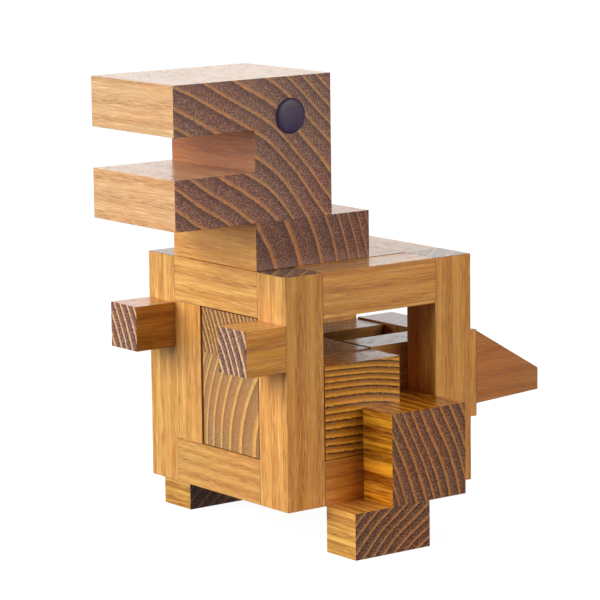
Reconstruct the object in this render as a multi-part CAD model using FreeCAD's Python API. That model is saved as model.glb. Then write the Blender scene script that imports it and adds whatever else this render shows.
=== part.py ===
import FreeCAD, Part
import os

# Wooden take-apart dinosaur, built from square hardwood blocks.
# An open cage of glued sticks is the trunk, and it stays whole.  Five loose
# pieces slide into the cage's windows: head and neck, tail, two legs, belly.
#
# Directions: +X is the animal's left, -Y is where it looks, +Z is up.
# The model is first laid out from the cage (X from its middle, Y from its
# chest face, Z from its underside) and is moved to the frame of the part at
# the end: origin on the floor, under the middle of the bounding box.
# All sizes are in millimetres.

# ---- cage ----
cage_width = 75.0        # outside, along X
cage_depth = 75.0        # outside, along Y
cage_height = 75.0       # outside, along Z
stick = 14.7             # square section of the posts, rails and arms
stile_width = 14.0       # extra upright in the chest window

# ---- arms ----
arm_reach = 15.3         # from the chest face forward
arm_level = 45.0         # underside of an arm above the cage's underside

# ---- play between pieces ----
window_play = 0.3        # between a window's edge and the piece in it
slip = 0.15              # between two loose pieces that slide past each other
edge_break = 0.1         # small chamfer on the edges of every block

# ---- head piece ----
head_width = 45.4
head_length = 60.6
head_height = 45.3
head_overhang = 30.6     # jaws in front of the chest face
lower_jaw = 16.0
mouth_gap = 13.2
mouth_depth = 30.6
neck_length = 45.0
neck_thickness = 15.3
plug_thickness = 15.0    # block under the neck, which fills the top window

# ---- eyes ----
eye_diameter = 11.3
eye_dome = 0.8           # how far the dome stands out
eye_rim = 0.3            # straight rim under the dome
eye_back = 44.5          # centre of the eye behind the jaw tips
eye_level = 32.8         # centre of the eye above the underside of the head
shank_diameter = 4.0
shank_length = 9.0
shank_play = 0.05        # around the shank, for glue
bore_end_play = 1.0      # past the end of the shank

# ---- legs ----
leg_thickness = 15.0     # of the thigh and foot, along X
thigh_depth = 30.0
foot_depth = 30.0
foot_height = 15.0
foot_step = 15.0         # how far the foot is in front of the thigh
foot_lap = 0.2           # how far the foot reaches up past the cage's underside
tongue_length = 30.0
tongue_depth = 14.85
tongue_height = 15.0
hip_height = 30.0

# ---- belly piece ----
belly_height = 30.4
belly_side_gap = 1.2     # beside the chest upright

# ---- tail piece ----
tail_base_depth = 15.0
tail_base_height = 29.3
tail_rise = 1.9          # how much the tail rides up in its window
wedge_length = 27.0
wedge_rise = 4.2         # underside of the wedge above that of the base
wedge_climb = 1.4        # how much that underside climbs to the tip
wedge_drop = 0.4         # top of the wedge below that of the base, where they meet
wedge_tip = 7.4          # height of the wedge's end face
prong_length = 30.0
prong_width = 14.85
prong_drop = 0.6         # top of the prongs below the top of the base

# ---- what follows from these sizes ----
half_width = cage_width / 2
window_half = half_width - stick
window_front = stick
window_back = cage_depth - stick
window_floor = stick
window_top = cage_height - stick
inner_half = window_half - window_play
inner_front = window_front + window_play
inner_back = window_back - window_play
inner_floor = window_floor + window_play
inner_top = window_top - window_play
floor_level = foot_lap - foot_height
front_end = -head_overhang
back_end = cage_depth + slip + tail_base_depth + wedge_length
middle_y = (min(front_end, -arm_reach) + back_end) / 2
to_frame = FreeCAD.Vector(0, -middle_y, -floor_level)

os.makedirs("parts", exist_ok=True)


def save(shape, node):
    """Move a piece to the frame of the part and write it as one STEP file."""
    placed = shape.copy()
    placed.translate(to_frame)
    placed.exportStep("parts/" + node + ".step")


def break_edges(shape, edges):
    """Chamfer the given edges, with a chamfer that the piece can carry."""
    box = shape.BoundBox
    thinnest = min(box.XLength, box.YLength, box.ZLength)
    return shape.makeChamfer(min(edge_break, thinnest / 6), edges)


def block(x_range, y_range, z_range):
    """A rectangular block between three pairs of coordinates."""
    x0, x1 = sorted(x_range)
    y0, y1 = sorted(y_range)
    z0, z1 = sorted(z_range)
    corner = FreeCAD.Vector(x0, y0, z0)
    raw = Part.makeBox(x1 - x0, y1 - y0, z1 - z0, corner)
    return break_edges(raw, raw.Edges)


def both_sides(x_near, x_far, side):
    """A pair of X coordinates on the left side (+1) or the right side (-1)."""
    return (side * x_near, side * x_far)


# ---------------------------------------------------------------- cage ----
# Posts run the full height.  Rails fit between the posts, top and bottom.
sides = {"left": 1, "right": -1}
ends = {"front": (0.0, stick), "back": (window_back, cage_depth)}
levels = {"bottom": (0.0, stick), "top": (window_top, cage_height)}

for side_name, side in sides.items():
    for end_name, y_range in ends.items():
        post_x = both_sides(window_half, half_width, side)
        post = block(post_x, y_range, (0.0, cage_height))
        save(post, "post_" + end_name + "_" + side_name)

for level_name, z_range in levels.items():
    for end_name, y_range in ends.items():
        rail = block((-window_half, window_half), y_range, z_range)
        save(rail, "rail_" + level_name + "_" + end_name)
    for side_name, side in sides.items():
        rail_x = both_sides(window_half, half_width, side)
        rail = block(rail_x, (window_front, window_back), z_range)
        save(rail, "rail_" + level_name + "_" + side_name)

# An extra upright stands in the chest window, against the right front post.
stile_edge = -window_half + stile_width
stile = block((-window_half, stile_edge), (0.0, stick), (window_floor, window_top))
save(stile, "chest_upright")

# Two short arms of the same stick are glued to the front posts.
for side_name, side in sides.items():
    arm_x = both_sides(window_half, half_width, side)
    arm = block(arm_x, (-arm_reach, 0.0), (arm_level, arm_level + stick))
    save(arm, "arm_" + side_name)

# ---------------------------------------------------------- head piece ----
# A plug fills the top window.  The neck board is glued on it and carries the
# head, which is one block with the mouth sawn into it from the front.
neck_bottom = cage_height + slip
neck_top = neck_bottom + neck_thickness
plug_z = (neck_bottom - plug_thickness, neck_bottom)
plug = block((-inner_half, inner_half), (inner_front, inner_back), plug_z)
save(plug, "neck_plug")

head_half = head_width / 2
neck = block((-head_half, head_half), (0.0, neck_length), (neck_bottom, neck_top))
save(neck, "neck_board")

head_top = neck_top + head_height
head_back = front_end + head_length
mouth_back = front_end + mouth_depth
mouth_low = neck_top + lower_jaw
mouth_high = mouth_low + mouth_gap
head_corner = FreeCAD.Vector(-head_half, front_end, neck_top)
head = Part.makeBox(head_width, head_length, head_height, head_corner)
mouth_corner = FreeCAD.Vector(-head_width, front_end - mouth_depth, mouth_low)
mouth = Part.makeBox(2 * head_width, 2 * mouth_depth, mouth_gap, mouth_corner)
head = head.cut(mouth)


def in_mouth_corner(edge):
    """True for the two inner corners at the back of the mouth."""
    return all(abs(v.Point.y - mouth_back) < 0.001 for v in edge.Vertexes)


head = break_edges(head, [e for e in head.Edges if not in_mouth_corner(e)])

eye_y = front_end + eye_back
eye_z = neck_top + eye_level
bore_radius = shank_diameter / 2 + shank_play
bore_depth = shank_length + bore_end_play
for side_name, side in sides.items():
    seat = FreeCAD.Vector(side * head_half, eye_y, eye_z)
    inward = FreeCAD.Vector(-side, 0, 0)
    head = head.cut(Part.makeCylinder(bore_radius, bore_depth, seat, inward))
save(head, "head_block")

# Each eye is a black turned button: a dome on a short rim, and a shank.
eye_radius = eye_diameter / 2
ball_radius = (eye_radius ** 2 + eye_dome ** 2) / (2 * eye_dome)
for side_name, side in sides.items():
    seat = FreeCAD.Vector(side * head_half, eye_y, eye_z)
    outward = FreeCAD.Vector(side, 0, 0)
    rim = Part.makeCylinder(eye_radius, eye_rim, seat, outward)
    ball_centre = seat + outward * (eye_rim + eye_dome - ball_radius)
    ball = Part.makeSphere(ball_radius, ball_centre)
    keep_from = seat + outward * eye_rim
    keep = Part.makeCylinder(eye_diameter, 2 * eye_diameter, keep_from, outward)
    shank = Part.makeCylinder(shank_diameter / 2, shank_length, seat, outward * -1)
    eye = rim.fuse(ball.common(keep)).fuse(shank).removeSplitter()
    save(eye, "eye_" + side_name)

# ---------------------------------------------------------------- legs ----
# Outside the cage: a thigh on a foot.  Inside: a hip block that fills part of
# the side window, and a tongue that runs in behind it.
cheek = half_width + slip
tongue_front = inner_back - tongue_depth
tongue_top = inner_floor + tongue_height
thigh_front = inner_back - thigh_depth
foot_front = thigh_front - foot_step
for side_name, side in sides.items():
    outer_x = both_sides(cheek, cheek + leg_thickness, side)
    thigh = block(outer_x, (thigh_front, inner_back), (foot_lap, tongue_top))
    save(thigh, "thigh_" + side_name)
    foot_y = (foot_front, foot_front + foot_depth)
    foot = block(outer_x, foot_y, (floor_level, foot_lap))
    save(foot, "foot_" + side_name)
    tongue_x = both_sides(cheek - tongue_length, cheek, side)
    tongue = block(tongue_x, (tongue_front, inner_back), (inner_floor, tongue_top))
    save(tongue, "leg_tongue_" + side_name)
    hip_x = both_sides(inner_half + slip, cheek, side)
    hip_z = (inner_floor, inner_floor + hip_height)
    hip = block(hip_x, (inner_front, tongue_front), hip_z)
    save(hip, "hip_block_" + side_name)

# ---------------------------------------------------------- tail piece ----
# A base block behind the cage, a tapered tail behind it, and two prongs that
# reach in through the back window, above the tongues of the legs.
base_y = (cage_depth + slip, cage_depth + slip + tail_base_depth)
base_bottom = inner_floor + tail_rise
base_top = base_bottom + tail_base_height
base = block((-inner_half, inner_half), base_y, (base_bottom, base_top))
save(base, "tail_base")

prong_tip = cage_depth + slip - prong_length
for side_name, side in sides.items():
    prong_x = both_sides(inner_half - prong_width, inner_half, side)
    prong_z = (tongue_top + slip, base_top - prong_drop)
    prong = block(prong_x, (prong_tip, cage_depth + slip), prong_z)
    save(prong, "tail_prong_" + side_name)

wedge_bottom = base_bottom + wedge_rise
tip_bottom = wedge_bottom + wedge_climb
profile = [
    FreeCAD.Vector(-inner_half, base_y[1], wedge_bottom),
    FreeCAD.Vector(-inner_half, back_end, tip_bottom),
    FreeCAD.Vector(-inner_half, back_end, tip_bottom + wedge_tip),
    FreeCAD.Vector(-inner_half, base_y[1], base_top - wedge_drop),
]
outline = Part.makePolygon(profile + [profile[0]])
wedge = Part.Face(outline).extrude(FreeCAD.Vector(2 * inner_half, 0, 0))
wedge = break_edges(wedge, wedge.Edges)
save(wedge, "tail_wedge")

# --------------------------------------------------------- belly piece ----
# It fills the chest window beside the upright: a deep lower block, and a
# shallow one glued on its front end.
belly_x = (stile_edge + belly_side_gap, inner_half)
belly_back = min(tongue_front, prong_tip) - 2 * slip
belly_top = inner_floor + belly_height
belly = block(belly_x, (0.0, belly_back), (inner_floor, belly_top))
save(belly, "belly_block")
chest = block(belly_x, (0.0, stick), (belly_top, inner_top))
save(chest, "chest_block")
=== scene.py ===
"""Looks for a wooden take-apart dinosaur: oiled hardwood blocks and black eyes.

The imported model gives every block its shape, size and place.  This script gives
each block its own cut of wood, rounds the eyes, and sets the studio around it.
"""

import logging
import math
from dataclasses import dataclass, field
from enum import Enum
from typing import ClassVar

import bpy
import numpy as np
from mathutils import Matrix, Vector


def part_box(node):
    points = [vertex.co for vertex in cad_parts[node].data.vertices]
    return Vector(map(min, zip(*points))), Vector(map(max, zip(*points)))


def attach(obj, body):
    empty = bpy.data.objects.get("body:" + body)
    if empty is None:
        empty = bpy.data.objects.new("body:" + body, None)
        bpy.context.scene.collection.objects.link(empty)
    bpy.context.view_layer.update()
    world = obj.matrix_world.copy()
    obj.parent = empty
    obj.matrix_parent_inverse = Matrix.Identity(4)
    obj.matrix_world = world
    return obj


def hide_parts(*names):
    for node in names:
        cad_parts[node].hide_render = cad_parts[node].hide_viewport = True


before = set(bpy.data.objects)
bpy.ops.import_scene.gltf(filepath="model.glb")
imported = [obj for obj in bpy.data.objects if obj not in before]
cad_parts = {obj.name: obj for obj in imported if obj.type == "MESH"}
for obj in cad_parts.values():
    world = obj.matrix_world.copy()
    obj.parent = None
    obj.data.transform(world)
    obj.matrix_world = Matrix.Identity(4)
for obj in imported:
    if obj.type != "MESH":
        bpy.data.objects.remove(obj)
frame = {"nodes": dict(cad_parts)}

logging.basicConfig(level=logging.INFO, format="%(message)s")
log = logging.getLogger("dinosaur")

MM = 0.001

Colour = tuple[float, float, float]
Socket = bpy.types.NodeSocket
Value = Socket | float | tuple      # what a node's input can be given


def paint(red: float, green: float, blue: float) -> Colour:
    """Turn a colour as mixed on screen (0 to 255) into linear light.

    Args:
        red: Red part, 0 to 255.
        green: Green part, 0 to 255.
        blue: Blue part, 0 to 255.

    Returns:
        The linear colour, 0 to 1.
    """
    parts = []
    for part in (red, green, blue):
        c = part / 255.0
        parts.append(c / 12.92 if c <= 0.04045 else ((c + 0.055) / 1.055) ** 2.4)
    return tuple(parts)


class Grain(Enum):
    """The direction that the fibres of a block run in, with its order of axes."""

    ACROSS = "YZX"      # fibres along X, so the ends are the left and right faces
    FORWARD = "XZY"     # fibres along Y
    UPRIGHT = "XYZ"     # fibres along Z

    def pick(self, parts: object) -> tuple:
        """Put three parts in this order of axes.

        Args:
            parts: The X, Y and Z parts.

        Returns:
            The same parts, the one along the fibres last.
        """
        return tuple(parts["XYZ".index(axis)] for axis in self.value)


class Graph:
    """A short way to wire the nodes of one material."""

    def __init__(self, name: str) -> None:
        """Start an empty material.

        Args:
            name: The material's name.
        """
        self.material = bpy.data.materials.new(name)
        self.material.use_nodes = True
        self.tree = self.material.node_tree
        self.tree.nodes.clear()

    def put(self, socket: Socket, value: Value) -> None:
        """Give an input a value.

        Args:
            socket: The input.
            value: An output to link it to, or a number, vector or colour to set.
        """
        if isinstance(value, Socket):
            self.tree.links.new(value, socket)
        elif isinstance(value, tuple) and len(value) == 3 and socket.type == "RGBA":
            socket.default_value = (*value, 1.0)
        else:
            socket.default_value = value

    def node(self, kind: str, **settings: object) -> bpy.types.Node:
        """Add a node.

        Args:
            kind: The node's type.
            **settings: Its options.

        Returns:
            The node.
        """
        made = self.tree.nodes.new(kind)
        for key, value in settings.items():
            setattr(made, key, value)
        return made

    def math(self, operation: str, *values: Value) -> Socket:
        """Combine numbers with one Math node.

        Args:
            operation: What the node works out.
            *values: The numbers.

        Returns:
            The result.
        """
        made = self.node("ShaderNodeMath", operation=operation)
        for socket, value in zip(made.inputs, values):
            self.put(socket, value)
        return made.outputs[0]

    def vector(self, operation: str, *values: Value) -> Socket:
        """Combine vectors with one Vector Math node.

        Args:
            operation: What the node works out.
            *values: The vectors.

        Returns:
            The result, a number for LENGTH and a vector for the rest.
        """
        made = self.node("ShaderNodeVectorMath", operation=operation)
        for socket, value in zip(made.inputs, values):
            self.put(socket, value)
        return made.outputs["Value" if operation == "LENGTH" else "Vector"]

    def split(self, whole: Socket) -> tuple:
        """Take a vector apart.

        Args:
            whole: The vector.

        Returns:
            Its X, Y and Z.
        """
        made = self.node("ShaderNodeSeparateXYZ")
        self.put(made.inputs[0], whole)
        return tuple(made.outputs)

    def join(self, *parts: Value) -> Socket:
        """Make a vector.

        Args:
            *parts: Its X, Y and Z; parts left out are 0.

        Returns:
            The vector.
        """
        made = self.node("ShaderNodeCombineXYZ")
        for socket, part in zip(made.inputs, parts):
            self.put(socket, part)
        return made.outputs[0]

    def grey(self, value: Socket) -> Socket:
        """Turn a number into a grey colour.

        Args:
            value: The number.

        Returns:
            The grey.
        """
        made = self.node("ShaderNodeCombineColor")
        for socket in made.inputs:
            self.put(socket, value)
        return made.outputs[0]

    def less(self, value: Value) -> Socket:
        """Take a number from 1.

        Args:
            value: The number.

        Returns:
            What is left.
        """
        return self.math("SUBTRACT", 1.0, value)

    def step(self, value: Socket, low: float, high: float) -> Socket:
        """Rise smoothly from 0 to 1.

        Args:
            value: The number that the rise follows.
            low: Where the rise starts.
            high: Where it ends.

        Returns:
            The share, 0 to 1.
        """
        made = self.node("ShaderNodeMapRange", interpolation_type="SMOOTHSTEP")
        self.put(made.inputs["Value"], value)
        self.put(made.inputs["From Min"], low)
        self.put(made.inputs["From Max"], high)
        return made.outputs["Result"]

    def noise(self, place: Socket, detail: float = 2.0, rough: float = 0.5,
              colour: bool = False) -> Socket:
        """Smooth noise of one unit's size.

        Args:
            place: Where to read it.
            detail: How many finer layers it has.
            rough: How strong they are.
            colour: Whether to give three numbers in place of one.

        Returns:
            The noise, 0 to 1.
        """
        made = self.node("ShaderNodeTexNoise", noise_dimensions="3D")
        self.put(made.inputs["Vector"], place)
        self.put(made.inputs["Scale"], 1.0)
        self.put(made.inputs["Detail"], detail)
        self.put(made.inputs["Roughness"], rough)
        return made.outputs["Color" if colour else 0]

    def ramp(self, value: Socket, stops: list[tuple[float, Colour]]) -> Socket:
        """Turn a number into a colour.

        Args:
            value: The number, 0 to 1.
            stops: Numbers and their colours, from low to high.

        Returns:
            The colour.
        """
        made = self.node("ShaderNodeValToRGB")
        self.put(made.inputs[0], value)
        elements = made.color_ramp.elements
        while len(elements) < len(stops):
            elements.new(1.0)
        for element, (at, colour) in zip(elements, stops):
            element.position = at
            element.color = (*colour, 1.0)
        return made.outputs["Color"]

    def blend(self, share: Value, first: Value, second: Value, mode: str = "MIX") -> Socket:
        """Mix two colours.

        Args:
            share: How much of the second there is, 0 to 1.
            first: The first colour.
            second: The second colour.
            mode: How they mix.

        Returns:
            The mixed colour.
        """
        made = self.node("ShaderNodeMix", data_type="RGBA", blend_type=mode)
        self.put(made.inputs[0], share)
        self.put(made.inputs[6], first)
        self.put(made.inputs[7], second)
        return made.outputs[2]


@dataclass(frozen=True)
class WoodTone:
    """The colours of one board of ring-porous hardwood under clear oil."""

    name: str
    gold: Colour            # dense wood, along the fibres
    russet: Colour          # band of pores, along the fibres
    dash: Colour            # single pores, along the fibres
    line: Colour            # band of pores, on an end
    heart: Colour           # dense wood, on an end
    dusk: Colour            # last and darkest wood of a year, on an end
    dots: Colour            # pale flecks, on an end
    shine: Colour           # pale flecks, along the fibres
    stripe: float = 0.5     # how strongly the years show along the fibres
    streaks: float = 0.5    # how strongly the fine streaks do


HONEY = WoodTone(
    "honey",
    gold=paint(220, 162, 86), russet=paint(182, 112, 50), dash=paint(138, 76, 26),
    line=paint(210, 144, 80), heart=paint(108, 71, 56), dusk=paint(88, 55, 46),
    dots=paint(188, 138, 88), shine=paint(240, 194, 122), stripe=0.5, streaks=0.5)
RUST = WoodTone(
    "rust",
    gold=paint(220, 143, 52), russet=paint(182, 99, 27), dash=paint(136, 66, 12),
    line=paint(208, 134, 62), heart=paint(106, 66, 46), dusk=paint(86, 51, 38),
    dots=paint(186, 130, 72), shine=paint(238, 172, 76), stripe=0.5, streaks=0.5)
PALE = WoodTone(
    "pale",
    gold=paint(222, 172, 122), russet=paint(190, 132, 84), dash=paint(150, 94, 54),
    line=paint(224, 160, 98), heart=paint(128, 86, 81), dusk=paint(100, 67, 67),
    dots=paint(230, 184, 140), shine=paint(246, 208, 160), stripe=0.4, streaks=0.45)
AMBER = WoodTone(
    "amber",
    gold=paint(255, 172, 42), russet=paint(148, 74, 6), dash=paint(92, 42, 4),
    line=paint(208, 140, 74), heart=paint(108, 68, 52), dusk=paint(88, 55, 46),
    dots=paint(214, 158, 96), shine=paint(255, 200, 84), stripe=0.85, streaks=0.95)
TIGER = WoodTone(
    "tiger",
    gold=paint(198, 132, 44), russet=paint(148, 90, 26), dash=paint(92, 54, 14),
    line=paint(232, 166, 52), heart=paint(176, 114, 32), dusk=paint(50, 30, 14),
    dots=paint(128, 84, 40), shine=paint(216, 154, 72), stripe=0.7)
CHEST = WoodTone(
    "chest",
    gold=paint(134, 82, 40), russet=paint(104, 62, 28), dash=paint(76, 42, 18),
    line=paint(222, 168, 90), heart=paint(160, 112, 68), dusk=paint(146, 98, 60),
    dots=paint(198, 148, 92), shine=paint(150, 96, 50))
COMBED = WoodTone(
    "combed",
    gold=paint(140, 88, 44), russet=paint(108, 64, 30), dash=paint(80, 46, 20),
    line=paint(210, 154, 84), heart=paint(126, 84, 56), dusk=paint(98, 62, 46),
    dots=paint(172, 122, 76), shine=paint(156, 102, 54))
PLUM = WoodTone(
    "plum",
    gold=paint(224, 158, 66), russet=paint(178, 114, 44), dash=paint(124, 70, 22),
    line=paint(236, 184, 124), heart=paint(112, 72, 66), dusk=paint(84, 53, 57),
    dots=paint(200, 154, 122), shine=paint(238, 178, 92), stripe=0.6, streaks=0.5)
SOLE = WoodTone(
    "sole",
    gold=paint(244, 180, 84), russet=paint(176, 104, 34), dash=paint(120, 62, 14),
    line=paint(206, 142, 80), heart=paint(98, 62, 50), dusk=paint(80, 51, 44),
    dots=paint(212, 158, 100), shine=paint(250, 204, 118), stripe=0.6, streaks=0.8)
UMBER = WoodTone(
    "umber",
    gold=paint(230, 164, 84), russet=paint(188, 114, 52), dash=paint(132, 72, 26),
    line=paint(208, 140, 82), heart=paint(103, 68, 63), dusk=paint(87, 57, 55),
    dots=paint(198, 148, 104), shine=paint(232, 184, 114))
RUSSET = WoodTone(
    "russet",
    gold=paint(200, 134, 74), russet=paint(172, 106, 58), dash=paint(140, 84, 46),
    line=paint(196, 136, 80), heart=paint(104, 68, 56), dusk=paint(86, 54, 48),
    dots=paint(186, 138, 96), shine=paint(210, 146, 84), stripe=0.4, streaks=0.35)


@dataclass(frozen=True)
class Cut:
    """How one block was cut from its board, in millimetres.

    The growth rings are cylinders round the pith line, which runs along the
    fibres.  The distance from the pith divided by the ring width gives the
    year; its fraction gives the place within the year.
    """

    tone: WoodTone
    grain: Grain
    pith: tuple[float, float]       # pith line from the block's lowest corner
    ring: float = 4.5               # width of a year
    crowd_from: float = 1000.0      # distance from the pith where years get narrower
    crowd: float = 0.0              # how quickly they do
    wander: float = 3.0             # how far the rings wander from true circles
    line_share: float = 0.17        # share of a year that the band of pores takes
    tone_and_shade: float = 1.0             # brightness of the whole block: its own tone, and painted shade on blocks inside and under the cage
    # Bounds of painted shade at the back of a recess, from the block's lowest corner:
    # lowest and highest place across the fibres one way, then the other way.
    recess_shade: tuple[float, float, float, float] | None = None


@dataclass(frozen=True)
class Pattern:
    """The size of one pattern in the wood, in millimetres."""

    across: float       # across the fibres
    along: float        # along them

    def spread(self, g: Graph, place: Socket) -> Socket:
        """Scale a position so that the pattern is one unit in size.

        Args:
            g: The graph being wired.
            place: Position in millimetres, fibres along its third part.

        Returns:
            The scaled position.
        """
        return g.vector("MULTIPLY", place, (1 / self.across, 1 / self.across, 1 / self.along))


@dataclass(frozen=True)
class OiledWood:
    """Builds the solid wood material of one block."""

    node: str
    cut: Cut
    seed: int

    PORES: ClassVar[Pattern] = Pattern(0.41, 6.0)
    FIBRE: ClassVar[Pattern] = Pattern(0.4, 10.0)
    STREAK: ClassVar[Pattern] = Pattern(1.5, 45.0)
    DRIFT: ClassVar[Pattern] = Pattern(20.0, 70.0)
    WARP: ClassVar[Pattern] = Pattern(38.0, 150.0)      # slow bend of the rings
    JITTER: ClassVar[Pattern] = Pattern(0.7, 9.0)       # rough edge of the rings

    PORE_EDGE: ClassVar[tuple] = (0.20, 0.44)           # where a pore starts and ends to fade
    JITTER_DEPTH: ClassVar[float] = 0.75                # mm
    UNEVEN_YEARS: ClassVar[float] = 0.7                 # how far wide and narrow years drift
    UNEVEN_SPAN: ClassVar[float] = 2.6                  # over how many years they do

    DUSK_FROM: ClassVar[float] = 0.64                   # parts of a year, on an end
    DUSK_AT: ClassVar[float] = 0.90
    EARLY: ClassVar[tuple] = (0.05, 0.60)               # parts of a year, along the fibres
    LATE: ClassVar[tuple] = (0.80, 1.0)

    LIGHT_DRIFT: ClassVar[float] = 0.34                 # range of brightness within a block
    RUDDY: ClassVar[Colour] = (0.99, 0.90, 0.86)        # where a block turns redder
    RECESS_SHADE: ClassVar[Colour] = (0.64, 0.44, 0.37)         # painted shade: how much the back of a recess is darkened
    RECESS_SHADE_BLUR: ClassVar[float] = 0.4                    # edge of that painted shade, mm

    GLOSS: ClassVar[float] = 0.17                       # roughness of the oiled face
    IOR: ClassVar[float] = 1.4
    RELIEF: ClassVar[float] = 0.03                      # depth of the pores, mm

    def build(self) -> bpy.types.Material:
        """Wire the material.

        Returns:
            The finished material.
        """
        g = Graph("wood_" + self.node)
        grain = self.cut.grain
        where = g.node("ShaderNodeTexCoord")
        low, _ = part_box(self.node)
        corner = tuple(part / MM for part in grain.pick(low))
        place = g.join(*grain.pick(g.split(where.outputs["Object"])))
        place = g.vector("MULTIPLY", place, (1 / MM, 1 / MM, 1 / MM))
        place = g.vector("SUBTRACT", place, corner)
        shift = (self.seed * 17.3 % 101.0, self.seed * 7.9 % 89.0, self.seed * 37.7 % 307.0)
        moved = g.vector("ADD", place, shift)

        year = self.years(g, place, moved)
        pores, fibre, streak, drift = self.fibres(g, moved)
        ends = self.end_colour(g, year, pores, streak)
        sides = self.side_colour(g, year, pores, fibre, streak)
        # Painted shade: the back of the mouth recess is darkened here.
        if self.cut.recess_shade:
            sides = g.blend(self.inside(g, place, self.cut.recess_shade), sides, self.RECESS_SHADE, "MULTIPLY")
        *_, facing = grain.pick(g.split(where.outputs["Normal"]))
        on_end = g.step(g.math("ABSOLUTE", facing), 0.45, 0.65)
        colour = self.drifted(g, g.blend(on_end, sides, ends), drift)

        shader = g.node("ShaderNodeBsdfPrincipled")
        g.put(shader.inputs["Base Color"], colour)
        rough = g.math("MULTIPLY_ADD", pores, 0.12, self.GLOSS)
        rough = g.math("MULTIPLY_ADD", fibre, 0.10, rough)
        g.put(shader.inputs["Roughness"], rough)
        shader.inputs["IOR"].default_value = self.IOR
        g.put(shader.inputs["Normal"], self.bump(g, pores, fibre))
        out = g.node("ShaderNodeOutputMaterial")
        g.put(out.inputs["Surface"], shader.outputs[0])
        return g.material

    def drifted(self, g: Graph, colour: Socket, drift: Socket) -> Socket:
        """Let the brightness and redness of a block change slowly from place to place.

        Args:
            g: The graph being wired.
            colour: The even colour.
            drift: The slow pattern, 0 to 1.

        Returns:
            The changed colour.
        """
        # The block's overall brightness holds its own tone, and painted shade for the blocks
        # inside and under the cage.
        base = self.cut.tone_and_shade - self.LIGHT_DRIFT / 2
        light = g.math("MULTIPLY_ADD", drift, self.LIGHT_DRIFT, base)
        colour = g.blend(1.0, colour, g.grey(light), "MULTIPLY")
        ruddy = g.blend(g.step(drift, 0.42, 0.62), (1.0, 1.0, 1.0), self.RUDDY)
        return g.blend(1.0, colour, ruddy, "MULTIPLY")

    def inside(self, g: Graph, place: Socket, bounds: tuple) -> Socket:
        """Rise to 1 between two pairs of bounds across the fibres.

        Args:
            g: The graph being wired.
            place: Position in millimetres from the block's lowest corner.
            bounds: Lowest and highest first place, lowest and highest second place.

        Returns:
            The share, 0 to 1.
        """
        share = 1.0
        for socket, low, high in zip(g.split(place), bounds[::2], bounds[1::2]):
            rise = g.step(socket, low - self.RECESS_SHADE_BLUR, low + self.RECESS_SHADE_BLUR)
            fall = g.less(g.step(socket, high - self.RECESS_SHADE_BLUR, high + self.RECESS_SHADE_BLUR))
            share = g.math("MULTIPLY", share, g.math("MULTIPLY", rise, fall))
        return share

    def years(self, g: Graph, place: Socket, moved: Socket) -> Socket:
        """Place within a year: the fraction of the warped distance from the pith.

        Args:
            g: The graph being wired.
            place: Position in millimetres, fibres along its third part.
            moved: The same, shifted to this block's own stretch of noise.

        Returns:
            The place within the year, 0 to 1.
        """
        cut = self.cut
        warp = g.noise(self.WARP.spread(g, moved), 1.0, colour=True)
        warp = g.vector("SUBTRACT", warp, (0.5, 0.5, 0.5))
        warp = g.vector("MULTIPLY", warp, (2 * cut.wander, 2 * cut.wander, 0.0))
        out = g.vector("SUBTRACT", g.vector("ADD", place, warp), (*cut.pith, 0.0))
        radius = g.vector("LENGTH", g.vector("MULTIPLY", out, (1.0, 1.0, 0.0)))

        jitter = g.math("SUBTRACT", g.noise(self.JITTER.spread(g, moved), 1.0), 0.5)
        lumps = g.join(g.math("MULTIPLY", radius, 1 / (self.UNEVEN_SPAN * cut.ring)),
                       float(self.seed))
        uneven = g.math("SUBTRACT", g.noise(lumps, 0.0), 0.5)
        count = g.math("MULTIPLY", radius, 1 / cut.ring)
        count = g.math("MULTIPLY_ADD", uneven, self.UNEVEN_YEARS, count)
        count = g.math("MULTIPLY_ADD", jitter, self.JITTER_DEPTH / cut.ring, count)
        if cut.crowd:
            past = g.math("MAXIMUM", g.math("SUBTRACT", radius, cut.crowd_from), 0.0)
            count = g.math("MULTIPLY_ADD", g.math("MULTIPLY", past, past), cut.crowd, count)
        return g.math("FRACT", count)

    def fibres(self, g: Graph, moved: Socket) -> tuple:
        """Pores, fine fibre, streaks and slow drift, all long along the fibres.

        Args:
            g: The graph being wired.
            moved: Position in millimetres in this block's own stretch of noise.

        Returns:
            The four patterns, each 0 to 1.
        """
        cell = g.node("ShaderNodeTexVoronoi", feature="F1")
        g.put(cell.inputs["Vector"], self.PORES.spread(g, moved))
        g.put(cell.inputs["Scale"], 1.0)
        pores = g.less(g.step(cell.outputs["Distance"], *self.PORE_EDGE))
        fibre = g.noise(self.FIBRE.spread(g, moved), 3.0, 0.65)
        streak = g.noise(self.STREAK.spread(g, moved), 3.0, 0.6)
        drift = g.noise(self.DRIFT.spread(g, moved), 1.0)
        return pores, fibre, streak, drift

    def end_colour(self, g: Graph, year: Socket, pores: Socket, streak: Socket) -> Socket:
        """Colour of an end: a tan line of pores, then a flecked brown band.

        Args:
            g: The graph being wired.
            year: The place within the year.
            pores: The pores.
            streak: The streaks.

        Returns:
            The colour.
        """
        tone = self.cut.tone
        share = self.cut.line_share
        band = g.ramp(year, [
            (0.0, tone.dusk), (0.04, tone.line), (share * 0.7, tone.line),
            (share + 0.14, tone.heart), (self.DUSK_FROM, tone.heart), (self.DUSK_AT, tone.dusk)])
        in_line = g.less(g.step(year, share - 0.02, share + 0.12))
        early = g.less(g.step(year, 0.55, 0.95))
        flecks = g.math("MULTIPLY", pores, g.math("MULTIPLY_ADD", early, 0.50, 0.42))
        flecked = g.blend(flecks, band, tone.dots)
        holes = g.math("MULTIPLY", g.math("MULTIPLY", pores, in_line), 0.85)
        patches = g.math("MULTIPLY", g.step(streak, 0.45, 0.7), 0.35)
        return g.blend(patches, g.blend(holes, flecked, tone.heart), tone.heart)

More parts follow.
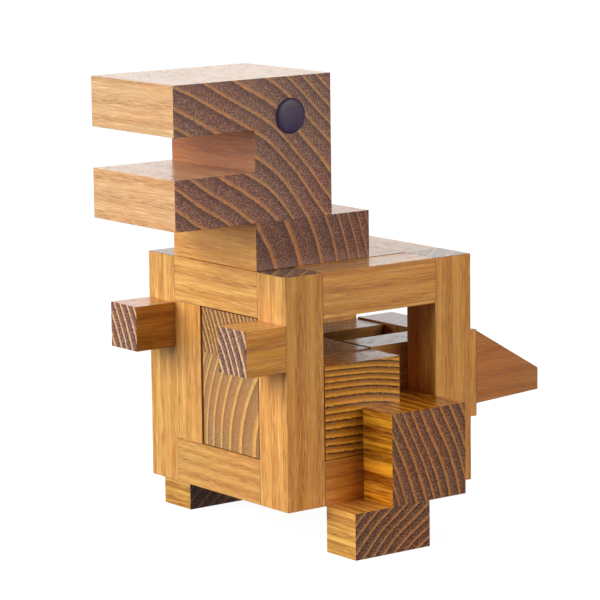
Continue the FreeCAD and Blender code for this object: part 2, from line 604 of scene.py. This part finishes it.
    def side_colour(self, g: Graph, year: Socket, pores: Socket, fibre: Socket,
                    streak: Socket) -> Socket:
        """Colour along the fibres: gold, with russet bands and short pore dashes.

        Args:
            g: The graph being wired.
            year: The place within the year.
            pores: The pores.
            fibre: The fine fibre.
            streak: The streaks.

        Returns:
            The colour.
        """
        tone = self.cut.tone
        early = g.less(g.step(year, *self.EARLY))
        late = g.step(year, *self.LATE)
        banded = g.math("MULTIPLY", g.math("MAXIMUM", early, late), tone.stripe)
        colour = g.blend(banded, tone.gold, tone.russet)
        soft = g.math("MULTIPLY", g.step(streak, 0.40, 0.66), tone.streaks)
        colour = g.blend(soft, colour, tone.russet)
        dashes = g.math("MULTIPLY", pores, g.math("MULTIPLY_ADD", early, 0.46, 0.28))
        colour = g.blend(dashes, colour, tone.dash)
        glints = g.math("MULTIPLY", g.step(fibre, 0.52, 0.72), 0.55)
        colour = g.blend(glints, colour, tone.shine)
        lift = g.math("MULTIPLY_ADD", fibre, 0.7, 0.65)
        return g.blend(1.0, colour, g.grey(lift), "MULTIPLY")

    def bump(self, g: Graph, pores: Socket, fibre: Socket) -> Socket:
        """Pores sink below the face, and the fibres ripple it.

        Args:
            g: The graph being wired.
            pores: The pores.
            fibre: The fine fibre.

        Returns:
            The normal.
        """
        height = g.math("MULTIPLY_ADD", fibre, 0.35, g.math("MULTIPLY", pores, -0.65))
        made = g.node("ShaderNodeBump")
        made.inputs["Strength"].default_value = 1.0
        made.inputs["Distance"].default_value = self.RELIEF * MM
        g.put(made.inputs["Height"], height)
        return made.outputs[0]


@dataclass
class Wardrobe:
    """Which cut of wood each block of the dinosaur has."""

    cuts: dict[str, Cut] = field(default_factory=dict)

    def __post_init__(self) -> None:
        """Fill in the cuts, block by block."""
        across, forward, upright = Grain.ACROSS, Grain.FORWARD, Grain.UPRIGHT
        c = self.cuts
        c["post_front_left"] = Cut(HONEY, upright, (-63, -52), 4.0, tone_and_shade=1.03)
        c["post_front_right"] = Cut(HONEY, upright, (68, -47), 4.5)
        c["post_back_left"] = Cut(HONEY, upright, (47, 43), 5.0, tone_and_shade=1.06)
        c["post_back_right"] = Cut(HONEY, upright, (-42, 43), 4.5)
        c["rail_top_front"] = Cut(HONEY, across, (-27, -35), 4.0)
        c["rail_top_back"] = Cut(HONEY, across, (43, -55), 4.5)
        c["rail_bottom_front"] = Cut(HONEY, across, (-17, -25), 3.6, wander=5.0, tone_and_shade=0.88)
        c["rail_bottom_back"] = Cut(HONEY, across, (63, -25), 4.5)
        c["rail_top_left"] = Cut(HONEY, forward, (47, -25), 4.2, tone_and_shade=1.04)
        c["rail_top_right"] = Cut(HONEY, forward, (-32, -15), 4.2)
        c["rail_bottom_left"] = Cut(RUST, forward, (47, -35), 3.4, tone_and_shade=0.87)
        c["rail_bottom_right"] = Cut(HONEY, forward, (-32, -35), 4.0)
        c["chest_upright"] = Cut(HONEY, upright, (-37, -37), 3.8)
        c["arm_left"] = Cut(PLUM, forward, (-55, -24), 3.2, line_share=0.24, wander=2.2)
        c["arm_right"] = Cut(PLUM, forward, (-54, -24), 3.2, line_share=0.24, wander=2.2,
                             tone_and_shade=0.93)
        # The back of the mouth is darkened as painted shade of its recess.
        c["head_block"] = Cut(PALE, across, (-49, -81), 5.6, 146, 0.0020, wander=4.2,
                              line_share=0.13, tone_and_shade=0.89, recess_shade=(30.0, 32.0, 14.8, 30.4))
        c["neck_board"] = Cut(UMBER, across, (-45, -18), 11.0, 66, 0.0045, wander=2.0,
                              line_share=0.08)
        c["neck_plug"] = Cut(HONEY, forward, (62, -65), 4.5, tone_and_shade=0.92)
        c["thigh_left"] = Cut(AMBER, across, (-90, -25), 3.3, line_share=0.22)
        c["thigh_right"] = Cut(AMBER, across, (-77, -45), 4.8, line_share=0.2)
        c["foot_left"] = Cut(SOLE, across, (70, -63), 3.0, line_share=0.23)
        # The right foot is darkened as painted shade under the cage.
        c["foot_right"] = Cut(SOLE, across, (78, -70), 3.3, line_share=0.2, tone_and_shade=0.75)
        c["hip_block_left"] = Cut(TIGER, across, (-20, -520), 2.6, 536, 0.005, wander=2.0,
                                  line_share=0.35)
        # The right hip block is darkened as painted shade inside the cage.
        c["hip_block_right"] = Cut(TIGER, across, (60, -380), 2.8, wander=2.2, line_share=0.35,
                                   tone_and_shade=0.75)
        c["leg_tongue_left"] = Cut(AMBER, across, (58, 60), 4.0)
        c["leg_tongue_right"] = Cut(AMBER, across, (48, -90), 4.0)
        c["belly_block"] = Cut(CHEST, forward, (61, 0), 8.0, 40, 0.0042, wander=2.0,
                               line_share=0.18)
        c["chest_block"] = Cut(COMBED, forward, (-72, -25), 2.0, wander=0.9, line_share=0.4)
        c["tail_base"] = Cut(HONEY, upright, (92, 38), 4.2)
        c["tail_wedge"] = Cut(RUSSET, forward, (83, 51), 4.6, tone_and_shade=0.9)
        # Both tail prongs are darkened as painted shade inside the cage.
        c["tail_prong_left"] = Cut(HONEY, forward, (52, -85), 4.2, tone_and_shade=0.7)
        c["tail_prong_right"] = Cut(HONEY, forward, (-38, 45), 4.2, tone_and_shade=0.45)

    def dress(self, nodes: dict[str, bpy.types.Object]) -> None:
        """Give every wooden block its own material.

        Args:
            nodes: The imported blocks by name.
        """
        for seed, (name, cut) in enumerate(sorted(self.cuts.items()), start=3):
            block = nodes[name]
            block.data.materials.clear()
            block.data.materials.append(OiledWood(name, cut, seed).build())
            log.info("dressed %s in %s, fibres %s", name, cut.tone.name, cut.grain.name.lower())


@dataclass(frozen=True)
class BlackLacquer:
    """The deep, slightly blue black of the eye buttons."""

    body: Colour = paint(50, 35, 72)
    worn: Colour = paint(66, 49, 90)
    roughness: float = 0.34
    specular: float = 0.3
    clouds: float = 0.3             # per mm
    grits: float = 3.0              # per mm
    grit_depth: float = 0.02        # mm

    def build(self) -> bpy.types.Material:
        """Wire the material.

        Returns:
            The finished material.
        """
        g = Graph("black_lacquer")
        where = g.node("ShaderNodeTexCoord")
        place = g.vector("MULTIPLY", where.outputs["Object"], (1 / MM, 1 / MM, 1 / MM))
        cloud = g.noise(g.vector("MULTIPLY", place, (self.clouds,) * 3), 3.0)
        grit = g.noise(g.vector("MULTIPLY", place, (self.grits,) * 3), 2.0)
        shader = g.node("ShaderNodeBsdfPrincipled")
        g.put(shader.inputs["Base Color"], g.blend(g.step(cloud, 0.35, 0.7), self.body, self.worn))
        g.put(shader.inputs["Roughness"], g.math("MULTIPLY_ADD", grit, 0.12, self.roughness))
        shader.inputs["Specular IOR Level"].default_value = self.specular
        dent = g.node("ShaderNodeBump")
        dent.inputs["Strength"].default_value = 0.5
        dent.inputs["Distance"].default_value = self.grit_depth * MM
        g.put(dent.inputs["Height"], grit)
        g.put(shader.inputs["Normal"], dent.outputs[0])
        out = g.node("ShaderNodeOutputMaterial")
        g.put(out.inputs["Surface"], shader.outputs[0])
        return g.material


@dataclass
class Eyes:
    """Two round black buttons, one on each side of the head."""

    turns: int = 96             # points round a button
    rings: int = 40             # points from the middle of the dome to the seat
    edge_power: float = 3.2     # how square the shoulder of the dome is

    def button(self, side: str, finish: bpy.types.Material) -> bpy.types.Object:
        """One domed button.

        The height over the seat is top * (1 - (r / R) ** p) ** (1 / p), with r
        the distance from the button's axis, R its radius and p the edge power;
        the angle round the axis is the second parameter.

        Args:
            side: "left" or "right".
            finish: The material.

        Returns:
            The new piece.
        """
        node = "eye_" + side
        low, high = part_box(node)
        head_low, head_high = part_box("head_block")
        outward = 1.0 if side == "left" else -1.0
        seat = head_high.x if side == "left" else head_low.x
        tip = high.x if side == "left" else low.x
        top = abs(tip - seat)
        radius = (high.z - low.z) / 2
        centre_y, centre_z = (low.y + high.y) / 2, (low.z + high.z) / 2
        bend = np.linspace(0.0, np.pi / 2, self.rings + 1)[1:]
        share = np.sin(bend) ** (2.0 / self.edge_power)
        height = top * np.cos(bend) ** (2.0 / self.edge_power)
        angle = np.linspace(0.0, 2 * np.pi, self.turns, endpoint=False)
        r = np.outer(radius * share, np.ones(self.turns))
        x = seat + outward * np.outer(height, np.ones(self.turns))
        y = centre_y + r * np.cos(angle)
        z = centre_z + r * np.sin(angle)
        grid = np.stack([x, y, z], axis=-1).reshape(-1, 3)
        points = np.vstack([grid, [[tip, centre_y, centre_z], [seat, centre_y, centre_z]]])
        ring = np.arange(self.turns)
        after = (ring + 1) % self.turns
        rows = np.arange(self.rings - 1)[:, None] * self.turns
        quads = np.stack([rows + ring, rows + self.turns + ring,
                          rows + self.turns + after, rows + after], axis=-1).reshape(-1, 4)
        last = (self.rings - 1) * self.turns
        crown = np.stack([np.full(self.turns, len(grid)), ring, after], axis=-1)
        base = np.stack([np.full(self.turns, len(grid) + 1), last + after, last + ring], axis=-1)
        if side == "right":
            quads, crown, base = quads[:, ::-1], crown[:, ::-1], base[:, ::-1]
        mesh = bpy.data.meshes.new(node + "_button")
        mesh.from_pydata(points.tolist(), [], quads.tolist() + crown.tolist() + base.tolist())
        flat_base = len(quads) + len(crown)
        smooth = np.ones(len(mesh.polygons), dtype=bool)
        smooth[flat_base:] = False
        mesh.polygons.foreach_set("use_smooth", smooth)
        mesh.update()
        piece = bpy.data.objects.new(node + "_button", mesh)
        bpy.context.scene.collection.objects.link(piece)
        mesh.materials.append(finish)
        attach(piece, "head")
        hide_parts(node)
        log.info("made %s", piece.name)
        return piece

    def build(self) -> list[bpy.types.Object]:
        """Make both buttons.

        Returns:
            The new pieces.
        """
        finish = BlackLacquer().build()
        return [self.button(side, finish) for side in ("left", "right")]


@dataclass(frozen=True)
class Lamp:
    """A soft rectangular light that points at the object's middle."""

    name: str
    place: tuple[float, float, float]       # m
    size: tuple[float, float]               # width and height, m
    power: float                            # W
    colour: Colour

    def hang(self, middle: Vector) -> None:
        """Add the light.

        Args:
            middle: The object's middle.
        """
        data = bpy.data.lights.new(self.name, "AREA")
        data.shape = "RECTANGLE"
        data.size, data.size_y = self.size
        data.energy = self.power
        data.color = self.colour
        lamp = bpy.data.objects.new(self.name, data)
        turn = (middle - Vector(self.place)).to_track_quat("-Z", "Y")
        lamp.matrix_world = Matrix.Translation(self.place) @ turn.to_matrix().to_4x4()
        bpy.context.scene.collection.objects.link(lamp)


@dataclass
class Studio:
    """Camera, pale floor and soft light."""

    azimuth: float = 53.107         # degrees from straight in front, to the left side
    elevation: float = 9.592        # degrees above level
    roll: float = -0.751            # degrees
    distance: float = 1.0253        # camera to the plane of the middle, m
    aside: float = 0.002897         # the middle is this far right of the view's middle, m
    above: float = 0.000936         # and this far above it, m
    aim_height: float = 0.06        # the view's middle above the cage's underside, m
    lens: float = 187.96            # mm
    sensor: float = 36.0            # mm
    floor_half: float = 9.0         # m
    floor_shade: float = 0.18       # what the floor gives back to the object
    floor_mirrored: float = 0.40    # its brightness in the gloss of the wood
    floor_glow: float = 0.94        # what it adds for the eye, so that it stays pale
    sky_base: float = 0.17          # brightness of the sky all round
    sky_peak: float = 1.8           # brightness behind the object
    sky_lobe: tuple[float, float] = (0.60, 0.97)    # cosines where the rise starts and ends
    sky_lift: float = 0.15          # slope of the lobe's middle above level
    lamps: tuple[Lamp, ...] = (
        Lamp("key", (-0.52, -1.40, 0.64), (1.9, 1.2), 47.0, (0.90, 0.99, 1.0)),
        Lamp("fill", (1.52, 0.75, 0.50), (1.1, 0.8), 19.0, (1.0, 0.93, 0.80)))

    def __post_init__(self) -> None:
        """Find the middle of the cage from its posts."""
        near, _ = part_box("post_front_right")
        _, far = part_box("post_back_left")
        self.middle = Vector(((near.x + far.x) / 2, (near.y + far.y) / 2,
                              near.z + self.aim_height))

    def axes(self) -> tuple[Vector, Vector, Vector]:
        """The camera's directions.

        Returns:
            Its right, its up and its backward, each of length 1.
        """
        a, e = math.radians(self.azimuth), math.radians(self.elevation)
        back = Vector((math.sin(a) * math.cos(e), -math.cos(a) * math.cos(e), math.sin(e)))
        right = Vector((0, 0, 1)).cross(back).normalized()
        up = back.cross(right)
        t = math.radians(self.roll)
        return (right * math.cos(t) + up * math.sin(t),
                up * math.cos(t) - right * math.sin(t), back)

    def camera(self) -> None:
        """Put the camera at the viewing angle."""
        right, up, back = self.axes()
        place = self.middle - right * self.aside - up * self.above
        place += back * self.distance
        data = bpy.data.cameras.new("camera")
        data.lens = self.lens
        data.sensor_width = self.sensor
        data.clip_end = 50.0
        data.dof.use_dof = False
        camera = bpy.data.objects.new("camera", data)
        turn = Matrix((right, up, back)).transposed().to_4x4()
        camera.matrix_world = Matrix.Translation(place) @ turn
        bpy.context.scene.collection.objects.link(camera)
        bpy.context.scene.camera = camera

    def floor(self) -> None:
        """A wide pale floor under the feet."""
        h = self.floor_half
        mesh = bpy.data.meshes.new("floor")
        mesh.from_pydata([(-h, -h, 0), (h, -h, 0), (h, h, 0), (-h, h, 0)], [], [(0, 1, 2, 3)])
        floor = bpy.data.objects.new("floor", mesh)
        bpy.context.scene.collection.objects.link(floor)
        g = Graph("floor_paper")
        paper = g.node("ShaderNodeBsdfDiffuse")
        g.put(paper.inputs["Color"], (self.floor_shade,) * 3)
        glow = g.node("ShaderNodeEmission")
        g.put(glow.inputs["Color"], (1.0, 1.0, 1.0))
        g.put(glow.inputs["Strength"], self.floor_glow)
        lit = g.node("ShaderNodeAddShader")
        g.put(lit.inputs[0], paper.outputs[0])
        g.put(lit.inputs[1], glow.outputs[0])
        mirrored = g.node("ShaderNodeEmission")
        g.put(mirrored.inputs["Color"], (1.0, 1.0, 1.0))
        g.put(mirrored.inputs["Strength"], self.floor_mirrored)
        ray = g.node("ShaderNodeLightPath")
        surface = paper.outputs[0]
        for kind, shown in (("Is Glossy Ray", mirrored), ("Is Camera Ray", lit)):
            pale = g.node("ShaderNodeMixShader")
            g.put(pale.inputs[0], ray.outputs[kind])
            g.put(pale.inputs[1], surface)
            g.put(pale.inputs[2], shown.outputs[0])
            surface = pale.outputs[0]
        out = g.node("ShaderNodeOutputMaterial")
        g.put(out.inputs["Surface"], surface)
        mesh.materials.append(g.material)

    def sky(self) -> None:
        """Soft light from all round, brightest low down behind the object.

        The strength is a base plus a lobe: the lobe rises smoothly with how
        nearly a direction points away from the camera.
        """
        world = bpy.data.worlds.new("sky")
        world.use_nodes = True
        tree = world.node_tree
        tree.nodes.clear()
        where = tree.nodes.new("ShaderNodeTexCoord")
        dot = tree.nodes.new("ShaderNodeVectorMath")
        dot.operation = "DOT_PRODUCT"
        tree.links.new(where.outputs["Generated"], dot.inputs[0])
        _, _, back = self.axes()
        away = Vector((-back.x, -back.y, self.sky_lift)).normalized()
        dot.inputs[1].default_value = away
        lobe = tree.nodes.new("ShaderNodeMapRange")
        lobe.interpolation_type = "SMOOTHSTEP"
        tree.links.new(dot.outputs["Value"], lobe.inputs["Value"])
        lobe.inputs["From Min"].default_value = self.sky_lobe[0]
        lobe.inputs["From Max"].default_value = self.sky_lobe[1]
        lobe.inputs["To Min"].default_value = self.sky_base
        lobe.inputs["To Max"].default_value = self.sky_peak
        shine = tree.nodes.new("ShaderNodeBackground")
        tree.links.new(lobe.outputs["Result"], shine.inputs["Strength"])
        out = tree.nodes.new("ShaderNodeOutputWorld")
        tree.links.new(shine.outputs[0], out.inputs[0])
        bpy.context.scene.world = world

    def build(self) -> None:
        """Set up everything around the object."""
        self.camera()
        self.floor()
        self.sky()
        for lamp in self.lamps:
            lamp.hang(self.middle)
        bpy.context.scene.view_settings.view_transform = "Standard"
        log.info("studio is set")


def main() -> None:
    """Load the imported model, dress it and set the studio."""
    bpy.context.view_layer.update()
    Wardrobe().dress(frame["nodes"])
    Eyes().build()
    Studio().build()


if __name__ == "__main__":
    main()
